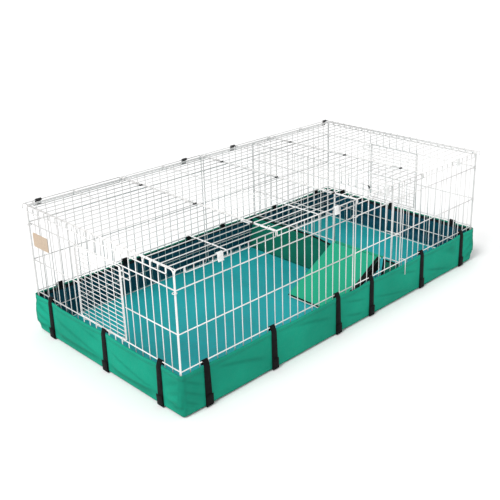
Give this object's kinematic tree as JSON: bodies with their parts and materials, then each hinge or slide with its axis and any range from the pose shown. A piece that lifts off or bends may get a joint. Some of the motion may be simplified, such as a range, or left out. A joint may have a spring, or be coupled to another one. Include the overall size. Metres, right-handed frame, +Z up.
{
  "type": "wire rabbit cage",
  "caption": "Low wire pen for a rabbit or other small pet, with a canvas tray floor, hinged wire lid, end ramp doors and a divider with a covered ramp.",
  "frame": {"origin": "on the ground under the middle of the base", "axes": "+X along the long side, +Y across towards the back, +Z up"},
  "size_m": [1.213, 0.6324, 0.3711],
  "materials": {
    "wire": "white plastic-coated welded wire, satin",
    "canvas": "coated green woven canvas, matte",
    "canvas_inside": "wipe-clean teal coated lining",
    "cover_canvas": "light green woven canvas, matte",
    "skirt_canvas": "dark green woven canvas, matte",
    "webbing": "black hook-and-loop webbing",
    "white_clip": "white moulded plastic",
    "black_clip": "black moulded plastic",
    "plate": "blank tan plate"
  },
  "bodies": {
    "cage": {"canvas_tray": "canvas", "strap_front_1": "webbing", "strap_front_2": "webbing", "strap_front_3": "webbing", "strap_front_4": "webbing", "strap_front_5": "webbing", "strap_front_6": "webbing", "strap_back_1": "webbing", "strap_back_2": "webbing", "strap_back_3": "webbing", "strap_back_4": "webbing", "strap_back_5": "webbing", "strap_back_6": "webbing", "strap_left_1": "webbing", "strap_left_2": "webbing", "strap_left_3": "webbing", "strap_right_1": "webbing", "strap_right_2": "webbing", "strap_right_3": "webbing", "wall_front_left": "wire", "wall_front_right": "wire", "wall_back_left": "wire", "wall_back_right": "wire", "wall_end_left": "wire", "wall_end_right": "wire", "plate_blank": "plate", "divider_panel": "wire", "divider_latch": "wire", "skirt_long": "skirt_canvas", "skirt_short": "skirt_canvas", "lid_inner_right": "wire", "lid_hook_right_1": "wire", "lid_hook_right_2": "wire", "lid_hook_right_3": "wire"},
    "door_left": {"door_left": "wire"},
    "door_right": {"door_right": "wire"},
    "door_latch_left": {"door_latch_left": "wire"},
    "door_latch_right": {"door_latch_right": "wire"},
    "lid_inner_left": {"lid_inner_left": "wire", "lid_hook_middle_1": "wire", "lid_hook_middle_2": "wire", "lid_hook_middle_3": "wire"},
    "lid_outer_left": {"lid_outer_left": "wire", "lid_lip_left": "wire", "lid_hook_left_1": "wire", "lid_hook_left_2": "wire", "lid_hook_left_3": "wire"},
    "lid_outer_right": {"lid_outer_right": "wire", "lid_lip_right": "wire"},
    "ramp": {"ramp_wire": "wire", "ramp_cover": "cover_canvas"},
    "clip_front_1": {"clip_front_1": "white_clip"},
    "clip_front_2": {"clip_front_2": "white_clip"},
    "clip_front_3": {"clip_front_3": "white_clip"},
    "clip_front_4": {"clip_front_4": "white_clip"},
    "clip_back_1": {"clip_back_1": "black_clip"},
    "clip_back_2": {"clip_back_2": "black_clip"},
    "clip_back_3": {"clip_back_3": "black_clip"},
    "clip_back_4": {"clip_back_4": "black_clip"}
  },
  "joints": [
    {"name": "door_left_drop", "type": "hinge", "parent": "cage", "child": "door_left", "pos_m": [-0.601, 0, 0.124], "axis": [0, -1, 0], "range_deg": [0, 128]},
    {"name": "door_right_drop", "type": "hinge", "parent": "cage", "child": "door_right", "pos_m": [0.601, 0, 0.124], "axis": [0, 1, 0], "range_deg": [0, 128]},
    {"name": "door_latch_left_swing", "type": "hinge", "parent": "door_left", "child": "door_latch_left", "pos_m": [-0.601, -0.11401, 0.3], "axis": [0, 0, -1], "range_deg": [0, 90]},
    {"name": "door_latch_right_swing", "type": "hinge", "parent": "door_right", "child": "door_latch_right", "pos_m": [0.601, 0.11401, 0.3], "axis": [0, 0, -1], "range_deg": [0, 90]},
    {"name": "lid_inner_left_lift", "type": "hinge", "parent": "cage", "child": "lid_inner_left", "pos_m": [0, 0, 0.3681], "axis": [0, 1, 0], "range_deg": [0, 60]},
    {"name": "lid_outer_left_lift", "type": "hinge", "parent": "lid_inner_left", "child": "lid_outer_left", "pos_m": [-0.2985, 0, 0.3681], "axis": [0, 1, 0], "range_deg": [0, 110]},
    {"name": "lid_outer_right_lift", "type": "hinge", "parent": "cage", "child": "lid_outer_right", "pos_m": [0.2985, 0, 0.3681], "axis": [0, -1, 0], "range_deg": [0, 110]},
    {"name": "ramp_fold", "type": "hinge", "parent": "cage", "child": "ramp", "pos_m": [0.2057, -0.15085, 0.115], "axis": [0, 1, 0], "range_deg": [0, 118]},
    {"name": "clip_front_1_swing", "type": "hinge", "parent": "lid_outer_left", "child": "clip_front_1", "pos_m": [-0.4769, -0.312, 0.3663], "axis": [-1, 0, 0], "range_deg": [0, 100]},
    {"name": "clip_back_1_swing", "type": "hinge", "parent": "lid_outer_left", "child": "clip_back_1", "pos_m": [-0.558, 0.312, 0.3663], "axis": [1, 0, 0], "range_deg": [0, 100]},
    {"name": "clip_front_2_swing", "type": "hinge", "parent": "lid_inner_left", "child": "clip_front_2", "pos_m": [-0.084, -0.312, 0.3663], "axis": [-1, 0, 0], "range_deg": [0, 100]},
    {"name": "clip_back_2_swing", "type": "hinge", "parent": "lid_inner_left", "child": "clip_back_2", "pos_m": [-0.064, 0.312, 0.3663], "axis": [1, 0, 0], "range_deg": [0, 100]},
    {"name": "clip_front_3_swing", "type": "hinge", "parent": "cage", "child": "clip_front_3", "pos_m": [0.12525, -0.312, 0.3663], "axis": [-1, 0, 0], "range_deg": [0, 100]},
    {"name": "clip_back_3_swing", "type": "hinge", "parent": "cage", "child": "clip_back_3", "pos_m": [0.13625, 0.312, 0.3663], "axis": [1, 0, 0], "range_deg": [0, 100]},
    {"name": "clip_front_4_swing", "type": "hinge", "parent": "lid_outer_right", "child": "clip_front_4", "pos_m": [0.4769, -0.312, 0.3663], "axis": [-1, 0, 0], "range_deg": [0, 100]},
    {"name": "clip_back_4_swing", "type": "hinge", "parent": "lid_outer_right", "child": "clip_back_4", "pos_m": [0.585, 0.312, 0.3663], "axis": [1, 0, 0], "range_deg": [0, 100]}
  ]
}
